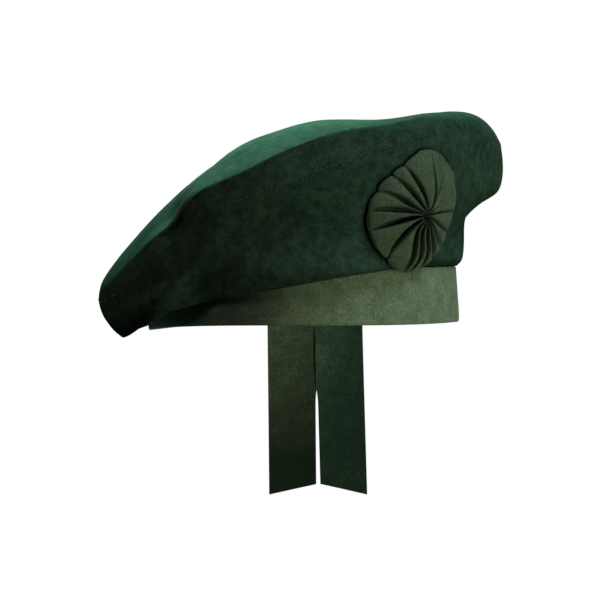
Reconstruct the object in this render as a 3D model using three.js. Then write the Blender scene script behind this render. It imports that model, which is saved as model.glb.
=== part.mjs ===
// A caubeen: a soft wool cap with a full crown that droops to one side, a ribbon band, a pleated
// cockade over one temple and two ribbon tails at the back.
// Millimetres, +Z up. The wearer faces -Y, so +X is the wearer's left, and the crown droops to -X.
// The origin is the middle of the head opening, level with the lower edge of the band.
// Azimuths are in degrees round +Z from +X: 90 is the back, 180 the drooping side, 270 the front.

import * as THREE from "three";

// Head opening and band
const headWidth = 163;
const headLength = 206;
const bandHeight = 29.5;
const bandWall = 1.8;
const bandTaper = 2; // the upper edge is this much nearer the axis than the lower
const rimSway = 2.3; // rise of the rim on the wearer's left, and its fall on the right
const rimDrop = 0.9; // how far it falls on both sides besides

// Crown cloth
const clothWall = 2;
const clothGap = 0.4; // clearance between the crown and the band
const seamGap = 0.6; // clearance between the crown's two panels
const crownHeight = 106.4;
const shoulderReach = 0.7; // distance of the shoulder from the axis, as a share of the edge's
const middleReach = 0.36; // the same for the middle of the top
const middleRise = 0.36; // share of the way from the apex's height to the shoulder's
const browShare = 0.3; // place of the brow on the way from the edge to the shoulder
const bellyShare = 0.45; // place of the belly on the way from the sag to the wall, where there is no fold
const hemPuff = 1.7; // where the upright cloth swells out just above the hem
const hemRise = 3.4;
const hemFold = 2.6; // how far the cloth rises above the hem before it folds over the band
const pocketOut = 1.2; // how far the folded cloth stands off the band
const bendLeast = 2.7; // radius of the bend at the bottom of a fold
const bendMost = 10;
const bendReach = 0.85; // how far the belly of a fold goes out and up, in bend radii
const foldBegin = -1; // height above the hem of a sag that is a full fold over the band
const foldEnd = 6; // and of one that is no fold but the upright wall

// Cockade
const cockadeDiameter = 62;
const cockadeSquash = 0.91; // its width as a share of that, its height
const cockadePleats = 16;
const cockadeDome = 5.5;
const cockadeWall = 1.2;
const pleatDepth = 2.2;
const pleatScallop = 0.6; // how far a pleat's middle stands past the grooves at the rim
const knotAcross = 4.6; // the gather lies this far off the middle, towards the wearer's left
const knotUp = -2.3;
const gatherRadius = 3;
const gatherDepth = 1.5;
const cockadeAzimuth = 304.3; // where its middle sits
const cockadeNormal = 322; // the way that it faces
const cockadeUp = 58.2;
const cockadeStandOff = 0.7;
const cockadeHug = 0.9; // how far its sides follow the crown, from 0, flat, to 1
const cockadeBridge = 6; // it lies straight over a step in the pieces behind it, this far up and down

// Tails
const tailWidth = 26.5;
const tailDrop = 97; // from the rim to the longer corner
const tailTuck = 14; // length sewn inside the band
const tailSlant = 5.8; // the outer corner hangs this much lower than the inner
const tailWall = 1;
const tailSplit = 0.6; // space between the two ribbons at the rim
const tailFlatten = 0.6; // share of the band's curve that a ribbon loses on its way down

// Each tail's side of the middle, and how far its lower end leans towards +X and swings back
const tails = [
  { name: "tail_left", side: 1, lean: 2.6, swing: 2 },
  { name: "tail_right", side: -1, lean: 0.9, swing: -1 },
];

// Facets
const crownColumns = 64;
const crowdAzimuth = 245; // the crown's columns stand closer together round the folded side
const crowdShift = 20;
const bandColumns = 96;
const pleatFacets = 6;
const cockadeBackReaches = [0.2, 0.4, 0.6, 0.8, 1]; // rings of the cockade, as shares of its radius
const cockadeFrontReaches = [1, 0.93, 0.76, 0.58, 0.4, 0.22];
const tailColumns = 4;
const tailRows = 10;

// Crown sections, one row for each azimuth: how far out from the band and how far up from the rim each
// station lies. The sag is the lowest bend of the cloth, or the upright wall where there is no droop. The
// roll is how far the cloth swells above a straight line just inside the edge, and the press how sharp the
// edge is, from 0, rolled over, to 1, creased.
const sectionColumns = [
  "sagOut", "sagUp", "wallOut", "wallUp", "seamOut", "seamUp", "edgeOut", "edgeUp", "roll", "shoulderUp",
  "press",
];
const crownSections = [
  { azimuth: 0, row: [4.1, 58.8, 22, 72.2, 21.8, 96.4, 13.2, 108.4, 2.5, 108.7, 0] },
  { azimuth: 25, row: [3.6, 56.5, 19, 70.5, 20.5, 92, 12.5, 103.5, 2.5, 105.5, 0] },
  { azimuth: 60, row: [4.2, 27, 10.5, 54, 16.5, 77.5, 13, 91.5, 2, 102.5, 0.2] },
  { azimuth: 90, row: [4.6, 20, 11, 43, 15.5, 64.5, 13, 77.5, 1.5, 96.5, 0.4] },
  { azimuth: 120, row: [8, 11, 15.5, 32, 18, 49.5, 15.5, 61.5, 1, 85.5, 0.4] },
  { azimuth: 150, row: [12, 0, 21.5, 14, 23.5, 24, 21.5, 34.5, 1, 69.5, 0.5] },
  { azimuth: 180, row: [13.8, -6, 25.2, 7.5, 26.8, 14.5, 25, 23.5, 2, 63, 0.5] },
  { azimuth: 207, row: [13.8, -6, 23.6, 7, 25.4, 13.5, 24.6, 21.8, 1.5, 64.5, 0.2] },
  { azimuth: 223, row: [14, 0.4, 22.3, 13.5, 24, 23, 22.4, 34.2, 0.8, 71.5, 0.5] },
  { azimuth: 232, row: [13.5, 4.9, 20, 20, 21.5, 33, 19.2, 44.6, 0.8, 77, 0.8] },
  { azimuth: 240, row: [11.5, 8.4, 17, 28, 18.4, 47, 16, 59.8, 0.8, 84.5, 0.9] },
  { azimuth: 247, row: [6, 12.5, 13.5, 35, 16.5, 55.8, 12.7, 68.8, 0.8, 90, 0.9] },
  { azimuth: 257, row: [4.6, 14.9, 11, 39, 15, 62.5, 11, 76.2, 0.8, 95, 0.9] },
  { azimuth: 272, row: [4.6, 20.7, 10.5, 48, 14, 73.8, 10, 90.8, 1, 102, 0.8] },
  { azimuth: 283, row: [4.4, 24.8, 9.5, 54, 13.5, 82, 9.5, 98, 1.2, 105.2, 0.7] },
  { azimuth: 295, row: [3.6, 27.4, 9, 58, 14.5, 89.5, 9, 101.5, 1.2, 105.6, 0.5] },
  { azimuth: 317, row: [2, 36, 11, 66, 17, 99.5, 9.5, 108.6, 2.2, 105.5, 0.2] },
  { azimuth: 340, row: [3.4, 51, 17, 70, 19, 99, 10.8, 110, 2.6, 107.9, 0] },
];

// Facets between one station of the crown and the next, from the hem up to the apex
const stationFacets = {
  turn: 2, tuck: 2, sag: 2, belly: 2, wall: 3, seam: 3, edge: 3, brow: 2, shoulder: 2, middle: 2, apex: 2,
};

// Folds in the crown. Each is centred on an azimuth and a station, with its spread in degrees and its reach
// in stations, moves round by its slant for each station up, and is a dent of its depth, or a ridge where
// that is below zero.
const crownFolds = [
  { azimuth: 241, slant: -3, spread: 7, station: 6.35, reach: 1, depth: 5 },
  { azimuth: 235, slant: -3, spread: 4, station: 6.1, reach: 0.8, depth: -1 },
  { azimuth: 245.5, slant: 10, spread: 7, station: 4.1, reach: 1.5, depth: 4 },
  { azimuth: 237.5, slant: 10, spread: 6, station: 4.2, reach: 1.4, depth: -2 },
  { azimuth: 274, slant: 0, spread: 4, station: 6.6, reach: 0.5, depth: 1.4 },
  { azimuth: 272, slant: 0, spread: 23, station: 5.2, reach: 1.1, depth: 4.5 },
  { azimuth: 277, slant: 0, spread: 23, station: 3.8, reach: 0.9, depth: -2.4 },
];

const { clamp, euclideanModulo, lerp, smoothstep } = THREE.MathUtils;
const degree = Math.PI / 180;

// Distance from the axis of the band's outer face at its lower edge, which is an ellipse
function bandRadius(azimuth) {
  const halfWidth = headWidth / 2 + bandWall;
  const halfLength = headLength / 2 + bandWall;
  const across = halfLength * Math.cos(azimuth * degree);
  const along = halfWidth * Math.sin(azimuth * degree);
  return (halfWidth * halfLength) / Math.hypot(across, along);
}

function rimRise(azimuth) {
  const side = Math.cos(azimuth * degree);
  return rimSway * side ** 3 - rimDrop * side ** 2;
}

// A point at an azimuth, a distance from the axis and a height
function polarPoint(azimuth, radius, up) {
  return new THREE.Vector3(radius * Math.cos(azimuth * degree), radius * Math.sin(azimuth * degree), up);
}

// A point of a section: distance from the axis and height
function sectionPoint(radius, up) {
  return new THREE.Vector3(radius, up, 0);
}

function evenAzimuths(count) {
  return Array.from({ length: count }, (_, column) => (360 * column) / count);
}

function crowdedAzimuths(count) {
  return evenAzimuths(count).map((azimuth) => {
    const turn = (azimuth - crowdAzimuth) * degree;
    return azimuth - crowdShift * Math.sin(turn);
  });
}

// The angle from one azimuth to another, the short way round
function azimuthBetween(from, to) {
  return euclideanModulo(to - from + 180, 360) - 180;
}

// A smooth hump, 1 in the middle and 0 from an offset of 1
function bell(offset) {
  return Math.abs(offset) < 1 ? (1 - offset * offset) ** 2 : 0;
}

// Skins a stack of rings that all have the same number of points. Rings run anticlockwise seen from the end
// of the stack. With no poles the last ring joins the first; with poles each end closes on a point.
function skinRings(rings, startPole, endPole) {
  const columns = rings[0].length;
  const points = rings.flat();
  const triangles = [];
  const joined = startPole ? rings.length - 1 : rings.length;
  for (let ring = 0; ring < joined; ring += 1) {
    const low = ring * columns;
    const high = ((ring + 1) % rings.length) * columns;
    for (let column = 0; column < columns; column += 1) {
      const next = (column + 1) % columns;
      triangles.push(low + column, low + next, high + next);
      triangles.push(low + column, high + next, high + column);
    }
  }
  if (startPole) {
    const last = (rings.length - 1) * columns;
    const start = points.push(startPole) - 1;
    const end = points.push(endPole) - 1;
    for (let column = 0; column < columns; column += 1) {
      const next = (column + 1) % columns;
      triangles.push(start, next, column);
      triangles.push(last + column, last + next, end);
    }
  }
  const geometry = new THREE.BufferGeometry().setFromPoints(points);
  geometry.setIndex(triangles);
  geometry.computeVertexNormals();
  return geometry;
}

// Outward normals of a grid of rings that close round the axis
function ringNormals(rings) {
  return rings.map((ring, level) => {
    const below = rings[Math.max(level - 1, 0)];
    const above = rings[Math.min(level + 1, rings.length - 1)];
    return ring.map((_, column) => {
      const left = ring[(column + ring.length - 1) % ring.length];
      const right = ring[(column + 1) % ring.length];
      const across = right.clone().sub(left);
      const up = above[column].clone().sub(below[column]);
      return across.cross(up).normalize();
    });
  });
}

// Draws a ring along the cloth towards its neighbour, square to the ring, by a distance
function trimRing(ring, neighbour, distance) {
  return ring.map((point, column) => {
    const before = ring.at(column - 1);
    const after = ring[(column + 1) % ring.length];
    const along = after.clone().sub(before).normalize();
    const away = neighbour[column].clone().sub(point);
    away.addScaledVector(along, -away.dot(along)).setLength(distance);
    return away.add(point);
  });
}

function centreOf(points) {
  const sum = points.reduce((total, point) => total.add(point), new THREE.Vector3());
  return sum.divideScalar(points.length);
}

// Smooth section of the crown at any azimuth
const closedSections = [...crownSections, { ...crownSections[0], azimuth: 360 }];
const sectionSpline = new THREE.CubicInterpolant(
  closedSections.map((section) => section.azimuth),
  closedSections.flatMap((section) => section.row),
  sectionColumns.length,
);
sectionSpline.settings = { endingStart: THREE.WrapAroundEnding, endingEnd: THREE.WrapAroundEnding };

function sectionAt(azimuth) {
  const row = sectionSpline.evaluate(euclideanModulo(azimuth, 360));
  return Object.fromEntries(sectionColumns.map((name, column) => [name, row[column]]));
}

// Stations of the crown's cloth at one azimuth, from the hem to the middle of the top. Where the cloth
// droops it turns over at the hem and runs down outside the band to a bend; elsewhere it stands upright.
function crownStations(azimuth) {
  const section = sectionAt(azimuth);
  const rim = bandRadius(azimuth);
  const hem = sectionPoint(rim - bandTaper, bandHeight + rimRise(azimuth) + clothGap);
  const sag = sectionPoint(rim + section.sagOut, section.sagUp);
  const wall = sectionPoint(rim + section.wallOut, section.wallUp);
  const seam = sectionPoint(rim + section.seamOut, section.seamUp);
  const edge = sectionPoint(rim + section.edgeOut, section.edgeUp);

  const fold = 1 - smoothstep(sag.y, hem.y + foldBegin, hem.y + foldEnd);
  const bend = clamp(section.sagOut - pocketOut, bendLeast, bendMost);
  const turn = sectionPoint(rim + hemPuff, hem.y + hemRise);
  const tuck = turn.clone().lerp(sag, 0.5);
  const belly = sag.clone().lerp(wall, bellyShare);
  tuck.lerp(sectionPoint(sag.x - bend, sag.y + bend), fold);
  turn.lerp(sectionPoint((hem.x + tuck.x) / 2, hem.y + hemFold), fold);
  belly.lerp(sectionPoint(sag.x + bend * bendReach, sag.y + bend * bendReach), fold);

  const shoulder = sectionPoint(edge.x * shoulderReach, section.shoulderUp);
  const brow = edge.clone().lerp(shoulder, browShare);
  brow.y += section.roll;
  const middle = sectionPoint(edge.x * middleReach, lerp(crownHeight, section.shoulderUp, middleRise));
  return [hem, turn, tuck, sag, belly, wall, seam, edge, brow, shoulder, middle];
}

// The cloth's line at one azimuth runs over the apex to the opposite side, so that the top is smooth there
function crownLine(azimuth) {
  const apex = sectionPoint(0, crownHeight);
  const beyond = crownStations(azimuth + 180).at(-1);
  beyond.x = -beyond.x;
  return new THREE.CatmullRomCurve3([...crownStations(azimuth), apex, beyond]);
}

// A place on that line. Where the edge is pressed, the cloth beside it lies flat.
function clothPoint(line, station, press) {
  const point = line.getPoint(station / (line.points.length - 1));
  const below = Math.floor(station);
  const nearness = 1 - Math.abs(station - edgeStation);
  if (nearness > 0) {
    const flat = line.points[below].clone().lerp(line.points[below + 1], station - below);
    point.lerp(flat, press * nearness * (2 - nearness));
  }
  return point;
}

function foldDepth(azimuth, station) {
  return crownFolds.reduce((depth, fold) => {
    const rise = station - fold.station;
    const across = bell(azimuthBetween(fold.azimuth + fold.slant * rise, azimuth) / fold.spread);
    const along = bell(rise / fold.reach);
    return depth + fold.depth * across * along;
  }, 0);
}

// Places of the rings along the cloth, counted in stations from the hem. The apex itself is a pole.
const ringStations = [0];
Object.values(stationFacets).forEach((facets, station) => {
  for (let facet = 1; facet <= facets; facet += 1) {
    ringStations.push(station + facet / facets);
  }
});
ringStations.pop();
const seamStation = Object.keys(stationFacets).indexOf("seam") + 1;
const edgeStation = seamStation + 1;
const seamRing = ringStations.indexOf(seamStation);

const crownLines = crowdedAzimuths(crownColumns).map((azimuth) => ({ azimuth, line: crownLine(azimuth) }));
const crownOuter = ringStations.map((station) =>
  crownLines.map(({ azimuth, line }) => {
    const point = clothPoint(line, station, sectionAt(azimuth).press);
    const tangent = line.getTangent(station / (line.points.length - 1));
    const depth = foldDepth(azimuth, station);
    return polarPoint(azimuth, point.x - tangent.y * depth, point.y + tangent.x * depth);
  }),
);
const crownNormals = ringNormals(crownOuter);
const crownInner = crownOuter.map((ring, level) =>
  ring.map((point, column) => point.clone().addScaledVector(crownNormals[level][column], -clothWall)),
);

// The side panel, from the hem up to the seam
function crownSide() {
  const outer = crownOuter.slice(0, seamRing + 1);
  const inner = crownInner.slice(0, seamRing + 1);
  outer[seamRing] = trimRing(outer[seamRing], outer[seamRing - 1], seamGap / 2);
  inner[seamRing] = trimRing(inner[seamRing], inner[seamRing - 1], seamGap / 2);
  return skinRings([...outer, ...inner.reverse()]);
}

// The top panel, from the seam over the edge to the apex
function crownTop() {
  const outer = crownOuter.slice(seamRing);
  const inner = crownInner.slice(seamRing);
  outer[0] = trimRing(outer[0], outer[1], seamGap / 2);
  inner[0] = trimRing(inner[0], inner[1], seamGap / 2);
  const apex = new THREE.Vector3(0, 0, crownHeight);
  const apexInside = new THREE.Vector3(0, 0, crownHeight - clothWall);
  return skinRings([...inner.reverse(), ...outer], apexInside, apex);
}

// The band is a folded ribbon: its lower edge is round and its upper edge meets the crown's hem
function band() {
  const half = bandWall / 2;
  const section = [
    { inward: bandWall, up: half },
    { inward: half, up: 0 },
    { inward: 0, up: half },
    { inward: bandTaper / 2, up: bandHeight / 2 },
    { inward: bandTaper, up: bandHeight },
    { inward: bandTaper + bandWall, up: bandHeight },
    { inward: bandTaper / 2 + bandWall, up: bandHeight / 2 },
  ];
  const rings = section.map(({ inward, up }) =>
    evenAzimuths(bandColumns).map((azimuth) =>
      polarPoint(azimuth, bandRadius(azimuth) - inward, up + rimRise(azimuth)),
    ),
  );
  return skinRings(rings);
}

// Height of a rounded pleat between two grooves, over its width from 0 to 1
function pleatRise(share) {
  return 1 - Math.abs(2 * share - 1) ** 3;
}

// The cockade is a gathered disc of pleats that lies against the pieces behind it. Its rings run out over
// its back and in again over its front.
function cockade(backing) {
  const outward = polarPoint(cockadeNormal, 1, 0);
  const inward = outward.clone().negate();
  const across = polarPoint(cockadeNormal + 90, 1, 0);
  const middle = polarPoint(cockadeAzimuth, bandRadius(cockadeAzimuth), cockadeUp);
  const radius = cockadeDiameter / 2;
  const columns = cockadePleats * pleatFacets;
  const probe = new THREE.Raycaster();

  function flatPoint(reach, turn) {
    const inside = 1 - reach / radius;
    const point = middle.clone();
    point.addScaledVector(across, reach * Math.cos(turn) * cockadeSquash + knotAcross * inside);
    point.z += reach * Math.sin(turn) + knotUp * inside;
    return point;
  }

  // How far the backing stands out from the flat disc near a point
  function backingRise(point) {
    const rises = [-cockadeBridge, 0, cockadeBridge].map((shift) => {
      const start = point.clone().addScaledVector(outward, cockadeDiameter);
      start.z += shift;
      probe.set(start, inward);
      return cockadeDiameter - probe.intersectObjects(backing)[0].distance;
    });
    return Math.max(...rises);
  }

  const seatRise = backingRise(middle);

  function backPoint(reach, turn) {
    const point = flatPoint(reach, turn);
    const rise = backingRise(point);
    const seat = Math.max(rise, lerp(seatRise, rise, cockadeHug));
    return point.addScaledVector(outward, seat + cockadeStandOff);
  }

  function frontPoint(reach, turn, pleat) {
    const dome = cockadeDome * (1 - (reach / radius) ** 2);
    const gather = gatherDepth * bell(reach / (2 * gatherRadius));
    const rise = cockadeWall + dome + pleatDepth * pleat - gather;
    return backPoint(reach, turn).addScaledVector(outward, rise);
  }

  function ring(pointAt, reach) {
    return Array.from({ length: columns }, (_, column) => {
      const pleat = pleatRise((column % pleatFacets) / pleatFacets);
      const scallop = reach === radius ? pleatScallop * pleat : 0;
      return pointAt(reach + scallop, (2 * Math.PI * column) / columns, pleat);
    });
  }

  const backRings = cockadeBackReaches.map((share) => ring(backPoint, share * radius));
  const frontRings = cockadeFrontReaches.map((share) => ring(frontPoint, share * radius));
  frontRings.push(ring(frontPoint, gatherRadius));
  return skinRings([...backRings, ...frontRings], backPoint(0, 0), frontPoint(0, 0, 0));
}

// A ribbon tail, sewn inside the back of the band and hanging below it. Its rings run up from the slanted
// end.
function tail({ side, lean, swing }) {
  function bandInside(x) {
    return (headLength / 2) * Math.sqrt(1 - (x / (headWidth / 2)) ** 2);
  }

  const middle = bandInside((tailSplit + tailWidth) / 2);

  function ring(level) {
    const front = [];
    const back = [];
    for (let column = 0; column <= tailColumns; column += 1) {
      const share = column / tailColumns;
      const inset = side > 0 ? share : 1 - share;
      const x = side * (tailSplit / 2 + tailWidth * inset);
      const lowest = -tailDrop + tailSlant * (1 - inset);
      const up = lerp(lowest, tailTuck, level);
      const hang = Math.max(-up, 0) / tailDrop;
      const taper = (bandTaper * Math.max(up, 0)) / bandHeight;
      const curve = lerp(bandInside(x), middle, hang * tailFlatten);
      const y = curve - taper - clothGap + swing * hang * hang;
      front.push(new THREE.Vector3(x + lean * hang, y - tailWall, up));
      back.unshift(new THREE.Vector3(x + lean * hang, y, up));
    }
    return [...front, ...back];
  }

  const rings = Array.from({ length: tailRows + 1 }, (_, row) => ring(row / tailRows));
  return skinRings(rings, centreOf(rings[0]), centreOf(rings.at(-1)));
}

const felt = { color: 0x1b3a2c, roughness: 0.95 };
const bandRibbon = { color: 0x4c5a44, roughness: 0.8 };
const tailRibbon = { color: 0x26382a, roughness: 0.8 };

const group = new THREE.Group();

function addPiece(name, geometry, { color, roughness }) {
  const material = new THREE.MeshStandardMaterial({ color, roughness, metalness: 0 });
  const mesh = new THREE.Mesh(geometry, material);
  mesh.name = name;
  group.add(mesh);
  return mesh;
}

const sidePiece = addPiece("crown_side", crownSide(), felt);
const topPiece = addPiece("crown_top", crownTop(), felt);
const bandPiece = addPiece("band", band(), bandRibbon);
addPiece("cockade", cockade([sidePiece, topPiece, bandPiece]), bandRibbon);
for (const row of tails) {
  addPiece(row.name, tail(row), tailRibbon);
}

export default group;
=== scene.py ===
import math

import bpy
from mathutils import Matrix, Vector, noise
from mathutils.bvhtree import BVHTree
from mathutils.kdtree import KDTree


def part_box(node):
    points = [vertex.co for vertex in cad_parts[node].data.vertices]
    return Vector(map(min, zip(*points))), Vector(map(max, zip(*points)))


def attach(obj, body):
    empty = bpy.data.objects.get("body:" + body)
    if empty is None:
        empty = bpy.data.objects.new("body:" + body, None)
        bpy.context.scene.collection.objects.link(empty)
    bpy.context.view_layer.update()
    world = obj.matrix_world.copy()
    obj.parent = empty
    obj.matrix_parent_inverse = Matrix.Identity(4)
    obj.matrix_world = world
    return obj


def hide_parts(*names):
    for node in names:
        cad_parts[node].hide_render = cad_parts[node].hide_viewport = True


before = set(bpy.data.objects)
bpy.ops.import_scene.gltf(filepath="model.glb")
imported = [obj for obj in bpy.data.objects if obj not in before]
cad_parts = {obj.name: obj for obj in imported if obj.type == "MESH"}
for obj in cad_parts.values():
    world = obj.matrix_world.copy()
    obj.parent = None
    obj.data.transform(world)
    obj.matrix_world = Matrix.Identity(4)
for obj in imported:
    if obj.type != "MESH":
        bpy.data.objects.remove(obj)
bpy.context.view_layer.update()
scene = bpy.context.scene
mm = 0.001
weldReach = 0.01 * mm  # points of a CAD node that are this close are one point
smoothAngle = 50  # degrees, and edges that turn more sharply stay sharp
print("frame loaded:", ", ".join(sorted(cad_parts)))


def linearColor(hexCode):
    # sRGB hex to linear, with full alpha
    parts = [int(hexCode[i:i + 2], 16) / 255 for i in (1, 3, 5)]
    return [c / 12.92 if c <= 0.04045 else ((c + 0.055) / 1.055) ** 2.4 for c in parts] + [1.0]


def makeActive(piece):
    if bpy.context.mode != "OBJECT":
        bpy.ops.object.mode_set(mode="OBJECT")
    bpy.ops.object.select_all(action="DESELECT")
    piece.select_set(True)
    bpy.context.view_layer.objects.active = piece


def applyModifier(piece, kind, **settings):
    makeActive(piece)
    modifier = piece.modifiers.new(kind.lower(), kind)
    for name, value in settings.items():
        setattr(modifier, name, value)
    bpy.ops.object.modifier_apply(modifier=modifier.name)


def copyOfNode(nodeName, pieceName):
    # a CAD node is loose triangles, so its copy is welded and turned back to quads
    piece = bpy.data.objects.new(pieceName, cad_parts[nodeName].data.copy())
    scene.collection.objects.link(piece)
    piece.data.materials.clear()
    makeActive(piece)
    bpy.ops.mesh.customdata_custom_splitnormals_clear()
    bpy.ops.object.mode_set(mode="EDIT")
    bpy.ops.mesh.select_all(action="SELECT")
    bpy.ops.mesh.remove_doubles(threshold=weldReach)
    bpy.ops.mesh.tris_convert_to_quads(face_threshold=math.pi, shape_threshold=math.pi)
    bpy.ops.object.mode_set(mode="OBJECT")
    return piece


def smoothPiece(piece, levels):
    # the limit surface is slow round a pole where many edges meet, and looks the same
    applyModifier(piece, "SUBSURF", levels=levels, render_levels=levels, use_limit_surface=False)


def startSelection(piece):
    makeActive(piece)
    bpy.ops.object.mode_set(mode="EDIT")
    bpy.ops.mesh.select_all(action="DESELECT")


def selectVertices(piece, wanted):
    startSelection(piece)
    bpy.ops.object.mode_set(mode="OBJECT")
    for vertex in piece.data.vertices:
        vertex.select = wanted(vertex.co)
    bpy.ops.object.mode_set(mode="EDIT")


def creaseCorners(piece, angle, crease):
    startSelection(piece)
    bpy.ops.mesh.edges_select_sharp(sharpness=math.radians(angle))
    bpy.ops.transform.edge_crease(value=crease)
    bpy.ops.object.mode_set(mode="OBJECT")


def surfaceOf(piece):
    return BVHTree.FromObject(piece, bpy.context.evaluated_depsgraph_get())


def layUv(piece, place, wrap=0):
    # u runs along the ribbon and v across it, both in metres
    layer = piece.data.uv_layers.get("ribbon") or piece.data.uv_layers.new(name="ribbon")
    for face in piece.data.polygons:
        spots = [place(piece.data.vertices[i].co) for i in face.vertices]
        high = max(u for u, v in spots)
        for loop, (u, v) in zip(face.loop_indices, spots):
            layer.data[loop].uv = (u + wrap if wrap and high - u > wrap / 2 else u, v)


def finishPiece(piece, material, slot, *nodes):
    makeActive(piece)
    bpy.ops.object.shade_smooth_by_angle(angle=math.radians(smoothAngle))
    piece.data.materials.append(material)
    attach(piece, "root")
    if nodes:
        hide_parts(*nodes)
    print("made", piece.name, len(piece.data.polygons), "faces")


# Camera, level with the hat and almost square to its front
camera = {
    "azimuth": 3.7,  # degrees towards the wearer's left
    "distance": 1800 * mm,
    "pictureWidth": 321.4 * mm,  # at the hat
    "across": -2.14 * mm,  # the picture's middle, from the middle of the head opening
    "up": 12.96 * mm,
    "sensor": 36,
}
turn = math.radians(camera["azimuth"])
rightWay = Vector((math.cos(turn), math.sin(turn), 0))
backWay = Vector((math.sin(turn), -math.cos(turn), 0))
aim = rightWay * camera["across"] + Vector((0, 0, camera["up"]))
bpy.ops.object.camera_add(location=aim + backWay * camera["distance"], rotation=(math.pi / 2, 0, turn))
scene.camera = bpy.context.object
scene.camera.data.sensor_width = camera["sensor"]
scene.camera.data.lens = camera["sensor"] * camera["distance"] / camera["pictureWidth"]
print("camera set")


# One function adds a node with its settings, values and links
def addNode(tree, kind, values=None, links=None, **settings):
    node = tree.nodes.new(kind)
    for name, value in settings.items():
        setattr(node, name, value)
    for name, value in (values or {}).items():
        node.inputs[name].default_value = value
    for name, source in (links or {}).items():
        tree.links.new(source, node.inputs[name])
    return node


def newMaterial(name):
    material = bpy.data.materials.new(name)
    material.use_nodes = True
    material.node_tree.nodes.clear()
    return material, material.node_tree


def setRamp(ramp, *stops):
    elements = ramp.color_ramp.elements
    while len(elements) < len(stops):
        elements.new(0.5)
    for element, (position, hexCode) in zip(elements, stops):
        element.position = position
        element.color = linearColor(hexCode)


# Milled wool felt: fibres matted into a dull nap, so it has no gloss, a faint bloom at grazing angles
# and a fine fleck where fibres of different shades were carded together. Where it faces up it is painted
# a brighter green, a painted highlight for the light from above, less so at the two ends, which is
# painted shade, and it is painted dark in its hollows, painted shade where little light reaches
felt = {
    "side": [(0.38, "#1c2b23"), (0.5, "#263b2f"), (0.64, "#344b3a")],
    "top": [(0.38, "#305b46"), (0.5, "#3a6953"), (0.64, "#46795f")],
    "paintedEndShade": [(0.04, "#94bcaa"), (0.27, "#ffffff"), (0.5, "#ffffff"), (0.93, "#aca0a0")],
    "halfWidth": 110 * mm,  # the painted shade at the ends runs this far each way, from the wearer's right to the left
    "sideUp": 0.4,  # how far the felt faces up where the painted highlight of the top's colour begins, and where it is full
    "topUp": 0.85,
    "slopeUp": 0.35,  # and where the painted shade at the ends begins and is full
    "slopeFull": 0.7,
    "paintedHollowShade": 24 * mm,  # the felt is painted dark, painted shade, in folds closer than this
    "hollowDark": 0.2,
    "hollowFull": 0.55,  # the shares of open sky where the painted shade is darkest, and where it ends
    "hollowEnd": 0.93,
    "fleck": 1.3 * mm,  # clumps of fibre, drawn about twice as coarse as real ones so that they show
    "mottle": 4.5 * mm,  # where the nap was brushed one way and another
    "patch": 18 * mm,  # slow changes of shade from wear and pressing
    "fleckShare": 0.45,  # of the change of shade
    "mottleShare": 0.35,
    "patchShare": 0.2,
    "nap": 0.15 * mm,
    "napStrength": 0.7,
    "bloom": "#90ffc8",
}


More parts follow.
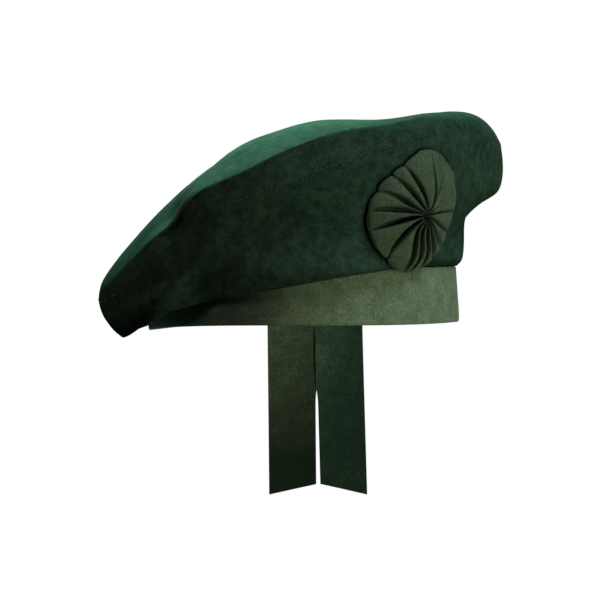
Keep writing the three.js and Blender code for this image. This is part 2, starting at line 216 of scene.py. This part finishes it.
def feltMaterial():
    material, tree = newMaterial("milledWoolFelt")
    coords = addNode(tree, "ShaderNodeTexCoord")
    place = coords.outputs["Object"]
    fleck = addNode(tree, "ShaderNodeTexNoise",
                    {"Scale": 1 / felt["fleck"], "Detail": 4, "Roughness": 0.65}, {"Vector": place})
    mottle = addNode(tree, "ShaderNodeTexNoise", {"Scale": 1 / felt["mottle"], "Detail": 2},
                     {"Vector": place})
    patch = addNode(tree, "ShaderNodeTexNoise", {"Scale": 1 / felt["patch"], "Detail": 2},
                    {"Vector": place})
    shade = addNode(tree, "ShaderNodeMath", {1: felt["fleckShare"]}, {0: fleck.outputs["Fac"]},
                    operation="MULTIPLY")
    for spots, weight in ((mottle, felt["mottleShare"]), (patch, felt["patchShare"])):
        shade = addNode(tree, "ShaderNodeMath", {1: weight},
                        {0: spots.outputs["Fac"], 2: shade.outputs[0]}, operation="MULTIPLY_ADD")
    sideColor = addNode(tree, "ShaderNodeValToRGB", links={"Fac": shade.outputs[0]})
    paintedHighlightColor = addNode(tree, "ShaderNodeValToRGB", links={"Fac": shade.outputs[0]})
    setRamp(sideColor, *felt["side"])
    setRamp(paintedHighlightColor, *felt["top"])
    across = addNode(tree, "ShaderNodeSeparateXYZ", links={"Vector": place})
    share = addNode(tree, "ShaderNodeMapRange",
                    {"From Min": -felt["halfWidth"], "From Max": felt["halfWidth"]},
                    {"Value": across.outputs["X"]})
    paintedEndShade = addNode(tree, "ShaderNodeValToRGB", links={"Fac": share.outputs[0]})
    setRamp(paintedEndShade, *felt["paintedEndShade"])
    # painted highlight: the felt is painted a brighter green the more it faces up, for the light from
    # above
    facing = addNode(tree, "ShaderNodeSeparateXYZ", links={"Vector": coords.outputs["Normal"]})
    up = addNode(tree, "ShaderNodeMapRange", {"From Min": felt["sideUp"], "From Max": felt["topUp"]},
                 {"Value": facing.outputs["Z"]}, interpolation_type="SMOOTHSTEP")
    both = addNode(tree, "ShaderNodeMix", None,
                   {0: up.outputs[0], 6: sideColor.outputs["Color"], 7: paintedHighlightColor.outputs["Color"]},
                   data_type="RGBA")
    # painted shade: the up-facing felt is painted darker towards both ends
    slope = addNode(tree, "ShaderNodeMapRange",
                    {"From Min": felt["slopeUp"], "From Max": felt["slopeFull"]},
                    {"Value": facing.outputs["Z"]}, interpolation_type="SMOOTHSTEP")
    withPaintedEndShade = addNode(tree, "ShaderNodeMix", None,
                     {0: slope.outputs[0], 6: both.outputs[2], 7: paintedEndShade.outputs["Color"]},
                     data_type="RGBA", blend_type="MULTIPLY")
    # painted shade: the felt is painted darker in hollows, where less open sky reaches
    sky = addNode(tree, "ShaderNodeAmbientOcclusion", {"Distance": felt["paintedHollowShade"]}, samples=8)
    paintedHollowShade = addNode(tree, "ShaderNodeMapRange",
                     {"From Min": felt["hollowFull"], "From Max": felt["hollowEnd"],
                      "To Min": felt["hollowDark"]}, {"Value": sky.outputs["AO"]})
    color = addNode(tree, "ShaderNodeHueSaturation", None,
                    {"Color": withPaintedEndShade.outputs[2], "Value": paintedHollowShade.outputs[0]})
    bump = addNode(tree, "ShaderNodeBump", {"Strength": felt["napStrength"], "Distance": felt["nap"]},
                   {"Height": fleck.outputs["Fac"]})
    shader = addNode(tree, "ShaderNodeBsdfPrincipled",
                     {"Roughness": 1, "IOR": 1.46, "Specular IOR Level": 0, "Sheen Weight": 0.015,
                      "Sheen Roughness": 0.4, "Sheen Tint": linearColor(felt["bloom"])},
                     {"Base Color": color.outputs[0], "Normal": bump.outputs["Normal"]})
    addNode(tree, "ShaderNodeOutputMaterial", links={"Surface": shader.outputs["BSDF"]})
    return material


# Grosgrain ribbon: a weft-ribbed weave, dull, with ribs across its width and a slightly uneven dye
ribbon = {
    "rib": 0.9 * mm,
    "ribDepth": 0.06 * mm,
    "ribStrength": 0.6,
    "slub": 0.3,  # how much the yarn's slubs stand out beside the ribs
    "thread": 1.1 * mm,  # slubs in the yarn, drawn about twice as coarse as real ones so that they show
    "patch": 9 * mm,
    "threadShare": 0.55,  # of the change of shade
    "patchShare": 0.37,
    "ribShare": 0.08,
    "stops": (0.36, 0.5, 0.64),  # where the dark, middle and light shades are
    "creviceFull": 0.25,  # the shares of open sky where the painted shade in folds is darkest, and where it ends
    "creviceEnd": 0.82,
    "bandLength": 586 * mm,  # the lengths that the painted shade runs along
    "tailDrop": 97 * mm,
}


def ribbonMaterial(name, dark, mid, light, paintedShadeStops=None, paintedShadeLength=0, folded=1, crevice=0):
    material, tree = newMaterial(name)
    along = addNode(tree, "ShaderNodeUVMap", uv_map="ribbon").outputs["UV"]
    place = addNode(tree, "ShaderNodeTexCoord").outputs["Object"]
    # a wave texture has ten waves in pi units
    ribs = addNode(tree, "ShaderNodeTexWave", {"Scale": math.pi / (10 * ribbon["rib"])},
                   {"Vector": along}, wave_type="BANDS", bands_direction="X", wave_profile="SIN")
    thread = addNode(tree, "ShaderNodeTexNoise", {"Scale": 1 / ribbon["thread"], "Detail": 2},
                     {"Vector": place})
    patch = addNode(tree, "ShaderNodeTexNoise", {"Scale": 1 / ribbon["patch"], "Detail": 3},
                    {"Vector": place})
    shade = addNode(tree, "ShaderNodeMath", {1: ribbon["threadShare"]}, {0: thread.outputs["Fac"]},
                    operation="MULTIPLY")
    for spots, weight in ((patch, ribbon["patchShare"]), (ribs, ribbon["ribShare"])):
        shade = addNode(tree, "ShaderNodeMath", {1: weight},
                        {0: spots.outputs["Fac"], 2: shade.outputs[0]}, operation="MULTIPLY_ADD")
    ramp = addNode(tree, "ShaderNodeValToRGB", links={"Fac": shade.outputs[0]})
    setRamp(ramp, *zip(ribbon["stops"], (dark, mid, light)))
    color = ramp.outputs["Color"]
    # painted shade: the ribbon is painted darker in its folds, where less open sky reaches
    if crevice:
        sky = addNode(tree, "ShaderNodeAmbientOcclusion", {"Distance": crevice}, samples=8)
        paintedFoldShade = addNode(tree, "ShaderNodeMapRange",
                       {"From Min": ribbon["creviceFull"], "From Max": ribbon["creviceEnd"],
                        "To Min": folded}, {"Value": sky.outputs["AO"]})
        color = addNode(tree, "ShaderNodeHueSaturation", None,
                        {"Color": color, "Value": paintedFoldShade.outputs[0]}).outputs[0]
    # painted shade that runs along the ribbon's length
    if paintedShadeStops:
        length = addNode(tree, "ShaderNodeSeparateXYZ", links={"Vector": along})
        down = addNode(tree, "ShaderNodeMapRange", {"From Max": paintedShadeLength},
                       {"Value": length.outputs["X"]})
        tint = addNode(tree, "ShaderNodeValToRGB", links={"Fac": down.outputs[0]})
        setRamp(tint, *paintedShadeStops)
        color = addNode(tree, "ShaderNodeMix", {0: 1}, {6: color, 7: tint.outputs["Color"]},
                        data_type="RGBA", blend_type="MULTIPLY").outputs[2]
    weave = addNode(tree, "ShaderNodeMath", {1: ribbon["slub"]},
                    {0: thread.outputs["Fac"], 2: ribs.outputs["Fac"]}, operation="MULTIPLY_ADD")
    bump = addNode(tree, "ShaderNodeBump",
                   {"Strength": ribbon["ribStrength"], "Distance": ribbon["ribDepth"]},
                   {"Height": weave.outputs[0]})
    shader = addNode(tree, "ShaderNodeBsdfPrincipled",
                     {"Roughness": 0.72, "IOR": 1.5, "Specular IOR Level": 0.15, "Sheen Weight": 0.03,
                      "Sheen Roughness": 0.5},
                     {"Base Color": color, "Normal": bump.outputs["Normal"]})
    addNode(tree, "ShaderNodeOutputMaterial", links={"Surface": shader.outputs["BSDF"]})
    return material


# Cotton sewing thread: twisted, so it catches a little more light than the cloth
cotton = {"twist": 0.6 * mm, "twistDepth": 0.1 * mm, "twistStrength": 0.4}


def threadMaterial(name, hexCode):
    material, tree = newMaterial(name)
    place = addNode(tree, "ShaderNodeTexCoord").outputs["Object"]
    twist = addNode(tree, "ShaderNodeTexNoise", {"Scale": 1 / cotton["twist"], "Detail": 1},
                    {"Vector": place})
    bump = addNode(tree, "ShaderNodeBump",
                   {"Strength": cotton["twistStrength"], "Distance": cotton["twistDepth"]},
                   {"Height": twist.outputs["Fac"]})
    shader = addNode(tree, "ShaderNodeBsdfPrincipled",
                     {"Base Color": linearColor(hexCode), "Roughness": 0.6, "Specular IOR Level": 0.3},
                     {"Normal": bump.outputs["Normal"]})
    addNode(tree, "ShaderNodeOutputMaterial", links={"Surface": shader.outputs["BSDF"]})
    return material


woolFelt = feltMaterial()
# the band is painted darker and greener under the droop, painted shade where the droop shades it
bandPaintedShade = [(0.36, "#ffffff"), (0.46, "#74a890"), (0.65, "#74a890"), (0.715, "#b0bed0"),
             (0.765, "#ffffff")]
bandGrosgrain = ribbonMaterial("bandGrosgrain", "#485a45", "#5c7056", "#6f8568",
                               bandPaintedShade, ribbon["bandLength"])
# its folds are painted dark, painted shade
cockadeGrosgrain = ribbonMaterial("cockadeGrosgrain", "#2c3e2b", "#394c36", "#455b42",
                                  folded=0.15, crevice=7 * mm)
# the tails are painted darker towards their lower ends, painted shade
tailGrosgrain = {
    "right": ribbonMaterial("oliveGrosgrain", "#374636", "#495d46", "#5e735a",
                            [(0.12, "#ffffff"), (0.48, "#c6c8be"), (0.8, "#3c6a4c")],
                            -ribbon["tailDrop"]),
    "left": ribbonMaterial("greenGrosgrain", "#385240", "#4b6a53", "#608269",
                           [(0.12, "#ffffff"), (0.48, "#aabab9"), (0.8, "#84968a")],
                           -ribbon["tailDrop"]),
}
seamThread = threadMaterial("seamThread", "#314a3b")
bandThread = threadMaterial("bandThread", "#737b56")
print("materials made")


# The crown: two felt panels, sewn at a seam below the edge
crown = {
    "subdivide": 2,
    "cornerAngle": 50,
    "cornerCrease": 0.6,
    "edgeAngle": 24,  # the pressed edge turns more sharply than this
    "edgeCrease": 0.55,
    "seamReach": 1.2 * mm,  # points of the two panels that are this close are sewn together
    "apexReach": 60 * mm,  # the top is eased this far from its middle
    "apexHeight": 80 * mm,
    "apexEase": 12,
    "dentSize": 38 * mm,  # soft unevenness of cloth that has been worn
    "dentDepth": 1.1 * mm,
    "rippleSize": 14 * mm,
    "rippleDepth": 0.25 * mm,
    "middle": Vector((0, 0, 40 * mm)),
}
# Soft hollows and swells of the front wall: where each is, how far it reaches and how far it moves
# the felt out
feltDents = [
    {"at": Vector((10, -100, 45)) * mm, "reach": Vector((46, 60, 13)) * mm, "out": -2.8 * mm},
    {"at": Vector((10, -100, 28)) * mm, "reach": Vector((50, 60, 7)) * mm, "out": 1.7 * mm},
    {"at": Vector((-43, -90, 50)) * mm, "reach": Vector((14, 50, 20)) * mm, "out": 3 * mm},
    {"at": Vector((-58, -75, 48)) * mm, "reach": Vector((8, 50, 11)) * mm, "out": -5.2 * mm},
    {"at": Vector((-69, -66, 38)) * mm, "reach": Vector((9, 50, 13)) * mm, "out": 2.2 * mm},
    {"at": Vector((-50, -80, 16)) * mm, "reach": Vector((11, 50, 13)) * mm, "out": -4.6 * mm},
]


def wearFelt(piece):
    # walls and panels move together, so that the seam stays closed
    for vertex in piece.data.vertices:
        away = (vertex.co - crown["middle"]).normalized()
        dent = crown["dentDepth"] * noise.noise(vertex.co / crown["dentSize"])
        ripple = crown["rippleDepth"] * noise.noise(vertex.co / crown["rippleSize"])
        for spot in feltDents:
            apart = Vector((c / r for c, r in zip(vertex.co - spot["at"], spot["reach"])))
            dent += spot["out"] * math.exp(-apart.length_squared)
        vertex.co += away * (dent + ripple)


feltTop = copyOfNode("crown_top", "feltTop")
creaseCorners(feltTop, crown["edgeAngle"], crown["edgeCrease"])
creaseCorners(feltTop, crown["cornerAngle"], crown["cornerCrease"] - crown["edgeCrease"])
selectVertices(feltTop, lambda co: co.xy.length < crown["apexReach"] and co.z > crown["apexHeight"])
bpy.ops.mesh.vertices_smooth(factor=0.5, repeat=crown["apexEase"])
bpy.ops.object.mode_set(mode="OBJECT")

feltSide = copyOfNode("crown_side", "feltSide")
topTree = KDTree(len(feltTop.data.vertices))
for vertex in feltTop.data.vertices:
    topTree.insert(vertex.co, vertex.index)
topTree.balance()
seamRing = []
for vertex in feltSide.data.vertices:
    spot, number, apart = topTree.find(vertex.co)
    if apart < crown["seamReach"]:
        vertex.co = feltTop.data.vertices[number].co = (vertex.co + spot) / 2
        seamRing.append(vertex.co.copy())
creaseCorners(feltSide, crown["cornerAngle"], crown["cornerCrease"])

for panel, node in ((feltTop, "crown_top"), (feltSide, "crown_side")):
    smoothPiece(panel, crown["subdivide"])
    wearFelt(panel)
    finishPiece(panel, woolFelt, "crown_felt", node)


# The band: a folded ribbon round the head opening
band = {"subdivide": 2, "cornerAngle": 60, "cornerCrease": 0.4, "steps": 720}
bandLow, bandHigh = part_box("band")
bandHalf = Vector((bandHigh.x - bandLow.x, bandHigh.y - bandLow.y)) / 2
arcs = [0]
for step in range(band["steps"]):
    a, b = (2 * math.pi * k / band["steps"] for k in (step, step + 1))
    arcs.append(arcs[-1] + math.hypot(bandHalf.x * (math.cos(b) - math.cos(a)),
                                      bandHalf.y * (math.sin(b) - math.sin(a))))


def bandPlace(co):
    turn = math.atan2(co.y / bandHalf.y, co.x / bandHalf.x) % (2 * math.pi)
    step = turn / (2 * math.pi) * band["steps"]
    low = min(int(step), band["steps"] - 1)
    return arcs[low] + (arcs[low + 1] - arcs[low]) * (step - low), co.z


headBand = copyOfNode("band", "headBand")
creaseCorners(headBand, band["cornerAngle"], band["cornerCrease"])
smoothPiece(headBand, band["subdivide"])
layUv(headBand, bandPlace, wrap=arcs[-1])
finishPiece(headBand, bandGrosgrain, "band_ribbon", "band")


# The cockade: one ribbon in deep folds, gathered to a knot that lies off its middle
cockade = {
    "normal": 322,  # degrees round the hat
    "knot": Vector((55.6, -77.9, 55.9)) * mm,
    "stand": 0.3 * mm,  # clear of the back of its solid
    "settle": 2.4 * mm,  # how far the rim may settle from there towards the felt
    "rimGap": 0.5 * mm,  # left between them
    "rimWall": 1 * mm,
    "dome": 5.7 * mm,
    "bottom": 0.4 * mm,  # how far the bottom of a fold is from the back
    "gape": 1.55 * mm,  # half the width of a fold where it is widest
    "gapeLimit": 0.33,  # of the pleat beside it
    "gapeLeast": 0.4,  # the share that a shallow fold has, and what deep and open ones add
    "gapeDeep": 0.6,
    "gapeOpen": 0.4,
    "swayFrom": 0.3,  # where folds begin to sway, stay open and get shallower, on the way to the rim
    "openFrom": 0.5,
    "shallowFrom": 0.8,
    "shallower": 0.55,  # the share of its depth that a fold loses at the rim
    "floor": 0.7,  # how much of a fold's half width its floor takes
    "lip": 0.45 * mm,  # the pleats' rounded edges
    "lipLimit": 0.1,  # of the pleat
    "lipDrop": 0.12,  # of the fold's depth
    "swell": 0.5 * mm,
    "tilt": 0.5 * mm,
    "tiltPace": 2.3,  # the paces are steps through the noise, from one pleat or column to the next
    "bulge": 1.2 * mm,  # how far a pleat stands out between two folds at the rim
    "bulgeFrom": 0.9,
    "step": 1.1 * mm,  # from one pleat's rim to the next
    "stepPace": 1.7,
    "fray": 1.5 * mm,  # of the rim
    "frayFrom": 0.98,
    "frayPace": 0.43,
    "frayPlace": (0.3, 0.6),  # in the noise
    "gather": 3.4 * mm,
    "gatherReach": 0.11,
    "columnsPerPleat": 10,
    "subdivide": 1,
    "probe": 60 * mm,  # how far off the surfaces are looked for
}
# A row for each fold: its turn at the rim in degrees from the wearer's left, how far it lags behind that
# near the knot, how far it sways on the way, how deep it is, how open it stays at the rim and how far
# from the knot the rim is there
cockadeFolds = [
    {"turn": 5, "lag": 9, "sway": 0, "deep": 0.35, "open": 0, "rim": 31.4 * mm},
    {"turn": 38, "lag": 0, "sway": 3, "deep": 0.06, "open": 0, "rim": 32.4 * mm},
    {"turn": 66, "lag": -2, "sway": 3, "deep": 0.1, "open": 0, "rim": 35 * mm},
    {"turn": 85.5, "lag": -19, "sway": 8, "deep": 0.18, "open": 0, "rim": 35.4 * mm},
    {"turn": 119, "lag": -11, "sway": 2, "deep": 0.8, "open": 0, "rim": 29 * mm},
    {"turn": 136, "lag": 0, "sway": -1, "deep": 0.85, "open": 0, "rim": 28.8 * mm},
    {"turn": 156, "lag": 5, "sway": -3, "deep": 0.9, "open": 0, "rim": 30.6 * mm},
    {"turn": 176, "lag": -10, "sway": 0, "deep": 1, "open": 0, "rim": 32.6 * mm},
    {"turn": 195.5, "lag": -11, "sway": 0, "deep": 1, "open": 0, "rim": 32.4 * mm},
    {"turn": 229, "lag": -27, "sway": 0, "deep": 0.95, "open": 0.5, "rim": 29.6 * mm},
    {"turn": 252, "lag": -31, "sway": 15, "deep": 0.95, "open": 0.9, "rim": 33 * mm},
    {"turn": 261, "lag": -14, "sway": 17, "deep": 0.95, "open": 0.9, "rim": 31.4 * mm},
    {"turn": 284, "lag": -9, "sway": 9.5, "deep": 1, "open": 0.9, "rim": 29.8 * mm},
    {"turn": 313, "lag": -24, "sway": 0, "deep": 1, "open": 0.9, "rim": 34.2 * mm},
    {"turn": 331, "lag": -27, "sway": 0, "deep": 0.9, "open": 0.5, "rim": 34 * mm},
    {"turn": 347.5, "lag": -16, "sway": 0, "deep": 0.9, "open": 0, "rim": 30 * mm},
]
# How wide the folds gape from the knot out to the rim, as shares of the widest
cockadeGape = [(0, 0.2), (0.25, 0.55), (0.55, 1), (0.75, 0.85), (0.9, 0.5), (1, 0.3)]
# Rings of the cockade from the middle of its back, round the rim and in over its face
cockadeRings = [{"reach": r, "face": 0} for r in (0.1, 0.4, 0.7, 0.9, 0.985)]
cockadeRings += [{"reach": 1, "face": f} for f in (0.3, 0.75)]
cockadeRings += [{"reach": r, "face": 1} for r in (0.985, 0.95, 0.89, 0.81, 0.72, 0.63, 0.54, 0.45)]
cockadeRings += [{"reach": r, "face": 1} for r in (0.37, 0.3, 0.24, 0.18, 0.13, 0.09, 0.05)]

outTurn = math.radians(cockade["normal"])
outWay = Vector((math.cos(outTurn), math.sin(outTurn), 0))
acrossWay = Vector((-outWay.y, outWay.x, 0))
cockadeBack = surfaceOf(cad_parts["cockade"])
behindCockade = [surfaceOf(feltSide), surfaceOf(headBand)]


def foldTurn(fold, reach):
    wave = math.sin(math.pi * max(0, (reach - cockade["swayFrom"]) / (1 - cockade["swayFrom"])))
    return math.radians(fold["turn"] + fold["lag"] * (1 - reach) + fold["sway"] * wave)


def foldGape(fold, reach, pleat):
    widest = cockade["gapeLeast"] + cockade["gapeDeep"] * fold["deep"]
    widest += cockade["gapeOpen"] * fold["open"]
    for (r0, g0), (r1, g1) in zip(cockadeGape, cockadeGape[1:]):
        if reach <= r1:
            share = g0 + (g1 - g0) * (reach - r0) / (r1 - r0)
            if reach > cockade["openFrom"]:
                share = max(share, fold["open"])
            return min(cockade["gapeLimit"] * pleat, cockade["gape"] * share * widest)


def cockadePoint(ring, column):
    reach = ring["reach"]
    number, place = divmod(column, cockade["columnsPerPleat"])
    here, there = cockadeFolds[number], cockadeFolds[(number + 1) % len(cockadeFolds)]
    start = foldTurn(here, reach)
    span = (foldTurn(there, reach) - start) % (2 * math.pi)
    width = span * reach * (here["rim"] + there["rim"]) / 2
    left, right = foldGape(here, reach, width), foldGape(there, reach, width)
    lip = min(cockade["lip"], cockade["lipLimit"] * width)
    first, last = left + lip, width - right - lip
    quarter = (last - first) / 4
    spots = [0, cockade["floor"] * left, left, first, first + quarter, (first + last) / 2,
             last - quarter, last, width - right, width - cockade["floor"] * right]
    share = spots[place] / width
    hump = 1 - (2 * share - 1) ** 2
    angle = start + span * share
    length = reach * (here["rim"] + (there["rim"] - here["rim"]) * share)
    if reach > cockade["bulgeFrom"]:
        length += cockade["bulge"] * (hump - 0.5)
        length += cockade["step"] * noise.noise((number * cockade["stepPace"], 0, 0))
    if reach > cockade["frayFrom"]:
        length += cockade["fray"] * noise.noise((*cockade["frayPlace"], column * cockade["frayPace"]))
    # columns 9, 0 and 1 are in a fold, 8 and 2 on its lips and the rest on the pleat
    inside = 1 if place in (0, 1, 9) else cockade["lipDrop"] if place in (2, 8) else 0
    deep = there["deep"] if place > 5 else here["deep"]
    tilt = cockade["tilt"] * noise.noise((0, number * cockade["tiltPace"], 0))
    top = cockade["rimWall"] + cockade["dome"] * (1 - reach ** 2)
    top += cockade["swell"] * hump + tilt * (2 * share - 1)
    top -= cockade["gather"] * max(0, 1 - (reach / cockade["gatherReach"]) ** 2)
    nearRim = max(0, reach - cockade["shallowFrom"]) / (1 - cockade["shallowFrom"])
    deep *= 1 - cockade["shallower"] * nearRim
    rise = top - inside * deep * max(0, top - cockade["bottom"])
    flat = cockade["knot"] + acrossWay * length * math.cos(angle)
    flat.z += length * math.sin(angle)
    far = outWay * cockade["probe"]
    back = cockadeBack.ray_cast(flat - far, outWay)[0] or cockadeBack.find_nearest(flat)[0]
    hits = [surface.ray_cast(flat + far, -outWay)[0] for surface in behindCockade]
    space = min([(back - hit).dot(outWay) for hit in hits if hit], default=0) - cockade["rimGap"]
    settle = min(max(space, 0), cockade["settle"]) * reach ** 4
    return back + outWay * (cockade["stand"] - settle + rise * ring["face"])


columns = len(cockadeFolds) * cockade["columnsPerPleat"]
bpy.ops.object.select_all(action="DESELECT")
cockadeSize = max(fold["rim"] for fold in cockadeFolds)
bpy.ops.mesh.primitive_circle_add(vertices=columns, radius=cockadeRings[0]["reach"] * cockadeSize,
                                  fill_type="NGON")
rosette = bpy.context.object
rosette.name = rosette.data.name = "rosette"
selectVertices(rosette, lambda co: True)
for before, after in zip(cockadeRings, cockadeRings[1:]):
    bpy.ops.mesh.extrude_edges_move(TRANSFORM_OT_translate={"value": (0, 0, mm)})
    scale = after["reach"] / before["reach"]
    bpy.ops.transform.resize(value=(scale, scale, 1))
bpy.ops.mesh.edge_face_add()
bpy.ops.object.mode_set(mode="OBJECT")
layUv(rosette, lambda co: (math.atan2(co.y, co.x) % (2 * math.pi) * cockadeSize, co.xy.length),
      wrap=2 * math.pi * cockadeSize)
for vertex in rosette.data.vertices:
    ring = cockadeRings[round(vertex.co.z / mm)]
    column = round(math.atan2(vertex.co.y, vertex.co.x) / (2 * math.pi) * columns) % columns
    vertex.co = cockadePoint(ring, column)
makeActive(rosette)
bpy.ops.object.mode_set(mode="EDIT")
bpy.ops.mesh.select_all(action="SELECT")
bpy.ops.mesh.normals_make_consistent(inside=False)
bpy.ops.object.mode_set(mode="OBJECT")
smoothPiece(rosette, cockade["subdivide"])
finishPiece(rosette, cockadeGrosgrain, "band_ribbon", "cockade")


# The tails: two lengths of ribbon sewn inside the back of the band, their ends cut on a slant
tails = {
    "width": 26.5 * mm,
    "length": 111 * mm,
    "slant": 5.8 * mm,
    "subdivide": 2,
    "cornerAngle": 60,
    "cornerCrease": 0.7,
    "drop": ribbon["tailDrop"],
    "halfGap": 0.34 * mm,  # between a tail's edge and the middle of the slit, at the rim
    "halfSpread": 0.85 * mm,  # and what is added to it at the lower end
    "lean": 1.75 * mm,  # of the slit, over its length
    "closed": 0.34,  # shares of the drop
    "parting": 0.13,
    "overlap": 0.25 * mm,
    "lift": 1 * mm,  # one lies this much in front of the other there
    "liftReach": 5 * mm,
}
for side in ("left", "right"):
    ribbonTail = copyOfNode("tail_" + side, "ribbonTail_" + side)
    creaseCorners(ribbonTail, tails["cornerAngle"], tails["cornerCrease"])
    smoothPiece(ribbonTail, tails["subdivide"])
    for vertex in ribbonTail.data.vertices:
        # their tops lie edge to edge, and they part lower down
        hang = max(0, -vertex.co.z) / tails["drop"]
        parted = min(1, max(0, (hang - tails["closed"]) / tails["parting"]))
        closed = 1 - parted ** 2 * (3 - 2 * parted)
        toSlit = tails["lean"] * hang - vertex.co.x
        paintedFoldShade = (tails["halfGap"] + tails["halfSpread"] * hang + tails["overlap"]) * closed
        vertex.co.x += math.copysign(paintedFoldShade, toSlit) * max(0, 1 - abs(toSlit) / tails["width"])
        if side == "left" and vertex.co.z < 0:
            lift = tails["lift"] * closed * min(1, hang / tails["parting"])
            vertex.co.y -= lift * math.exp(toSlit / tails["liftReach"])
    layUv(ribbonTail, lambda co: (co.z, co.x))
    finishPiece(ribbonTail, tailGrosgrain[side], "tail_ribbon", "tail_" + side)


# Stitches: one is shaped, then copied along a seam
def sewAlong(name, points, surface, row, material, slot):
    bpy.ops.object.select_all(action="DESELECT")
    # a ball 1 across, squeezed to a stitch's size
    bpy.ops.mesh.primitive_uv_sphere_add(segments=8, ring_count=5, radius=0.5)
    first = bpy.context.object
    bpy.ops.object.mode_set(mode="EDIT")
    bpy.ops.mesh.select_all(action="SELECT")
    bpy.ops.transform.resize(value=(row["length"], row["width"], row["height"]))
    bpy.ops.object.mode_set(mode="OBJECT")
    lengths = [(b - a).length for a, b in zip(points, points[1:] + points[:1])]
    count = round(sum(lengths) / row["pitch"])
    step = sum(lengths) / count
    stitches = []
    at, part = 0, 0.0
    for k in range(count):
        target = k * step
        while part + lengths[at] < target:
            part += lengths[at]
            at += 1
        start, end = points[at], points[(at + 1) % len(points)]
        along = (end - start).normalized()
        spot = start + along * (target - part)
        place, normal = surface.find_nearest(spot)[:2]
        down = along.cross(normal).normalized()
        if down.z > 0:
            down.negate()
        place, normal = surface.find_nearest(place + down * row["below"])[:2]
        along = (along - normal * along.dot(normal)).normalized()
        turned = Matrix((along, normal.cross(along), normal)).transposed().to_4x4()
        sunk = min(1, max(0, (row["looseTo"] - place.x) / row["sinkReach"]))
        turned.translation = place + normal * row["height"] * (row["proud"] - sunk * row["sink"])
        stitch = bpy.data.objects.new(name, first.data.copy())
        stitch.data.transform(turned)
        scene.collection.objects.link(stitch)
        stitches.append(stitch)
    bpy.data.objects.remove(first)
    makeActive(stitches[0])
    for stitch in stitches:
        stitch.select_set(True)
    bpy.ops.object.join()
    sewn = bpy.context.object
    sewn.name = sewn.data.name = name
    finishPiece(sewn, material, slot)


# the seam's outer ring, in order round the crown
seamRing.sort(key=lambda co: math.atan2(co.y, co.x))
seamLine = [max(pair, key=lambda co: co.xy.length) for pair in zip(seamRing[::2], seamRing[1::2])]
# on the droop the stitches sink into the cloth: from looseTo, and fully a sinkReach further on
seamStitch = {"length": 1.7 * mm, "width": 0.55 * mm, "height": 0.5 * mm, "pitch": 2.7 * mm,
              "below": 1.6 * mm, "proud": 0.1, "looseTo": -20 * mm, "sinkReach": 40 * mm, "sink": 0.56}
sewAlong("seamStitches", seamLine, surfaceOf(feltSide), seamStitch, seamThread, "crown_felt")

# the line of them rises towards the wearer's left and sags a little at both sides
bandStitch = {"length": 1.5 * mm, "width": 0.5 * mm, "height": 0.45 * mm, "pitch": 3.1 * mm,
              "below": 0, "proud": 0.1, "looseTo": 0, "sinkReach": 25 * mm, "sink": 0.56,
              "up": 3.6 * mm, "rise": 2.3 * mm, "sag": 0.9 * mm, "steps": 180}
bandLine = []
for step in range(bandStitch["steps"]):
    turn = 2 * math.pi * step / bandStitch["steps"]
    left, back = math.cos(turn), math.sin(turn)
    up = bandStitch["up"] + bandStitch["rise"] * left ** 3 - bandStitch["sag"] * left ** 2
    bandLine.append(Vector((bandHalf.x * left, bandHalf.y * back, up)))
sewAlong("bandStitches", bandLine, surfaceOf(headBand), bandStitch, bandThread, "band_ribbon")


# Studio: a white room that gives little light itself, two soft lamps at the wearer's left, a weak one
# at the droop and a strong one behind and above. A row for each lamp: its azimuth and elevation in
# degrees, power in watts and colour
studio = {
    "white": "#ffffff",
    "roomLight": 0.01,
    "floorDrop": 195 * mm,
    "floorSize": 800 * mm,
    "floorColor": "#e6e6e4",
    "lampDistance": 1400 * mm,
    "lampSize": 500 * mm,
    "aim": Vector((0, 0, 50 * mm)),
}
lamps = {
    "lowLamp": {"azimuth": 330, "elevation": -12, "power": 9.5, "color": "#fffde5"},
    "leftLamp": {"azimuth": 335, "elevation": 50, "power": 10.8, "color": "#ededff"},
    "fillLamp": {"azimuth": 222, "elevation": 28, "power": 4.3, "color": "#ffdcd2"},
    "backLamp": {"azimuth": 90, "elevation": 38, "power": 52, "color": "#ffffff"},
}
scene.view_settings.view_transform = "Standard"
scene.world = bpy.data.worlds.new("whiteRoom")
scene.world.use_nodes = True
room = scene.world.node_tree
room.nodes.clear()
white = linearColor(studio["white"])
seen = addNode(room, "ShaderNodeBackground", {"Color": white, "Strength": 1})
glow = addNode(room, "ShaderNodeBackground", {"Color": white, "Strength": studio["roomLight"]})
ray = addNode(room, "ShaderNodeLightPath")
walls = addNode(room, "ShaderNodeMixShader", None,
                {0: ray.outputs["Is Camera Ray"], 1: glow.outputs[0], 2: seen.outputs[0]})
addNode(room, "ShaderNodeOutputWorld", links={"Surface": walls.outputs[0]})

for name, lamp in lamps.items():
    azimuth, elevation = math.radians(lamp["azimuth"]), math.radians(lamp["elevation"])
    level = math.cos(elevation)
    way = Vector((math.cos(azimuth) * level, math.sin(azimuth) * level, math.sin(elevation)))
    bpy.ops.object.light_add(type="AREA", location=studio["aim"] + way * studio["lampDistance"],
                             rotation=(-way).to_track_quat("-Z", "Y").to_euler())
    light = bpy.context.object
    light.name = name
    light.data.size = studio["lampSize"]
    light.data.energy = lamp["power"]
    light.data.color = linearColor(lamp["color"])[:3]

bpy.ops.object.select_all(action="DESELECT")
bpy.ops.mesh.primitive_plane_add(size=studio["floorSize"], location=(0, 0, -studio["floorDrop"]))
floor = bpy.context.object
floor.name = "floor"
# matt paint: a pale, even ground without gloss
floorPaint, tree = newMaterial("palePaint")
shader = addNode(tree, "ShaderNodeBsdfPrincipled",
                 {"Base Color": linearColor(studio["floorColor"]), "Roughness": 0.9})
addNode(tree, "ShaderNodeOutputMaterial", links={"Surface": shader.outputs["BSDF"]})
floor.data.materials.append(floorPaint)
floor.visible_diffuse = False  # it throws no light up under the crown
print("studio set")
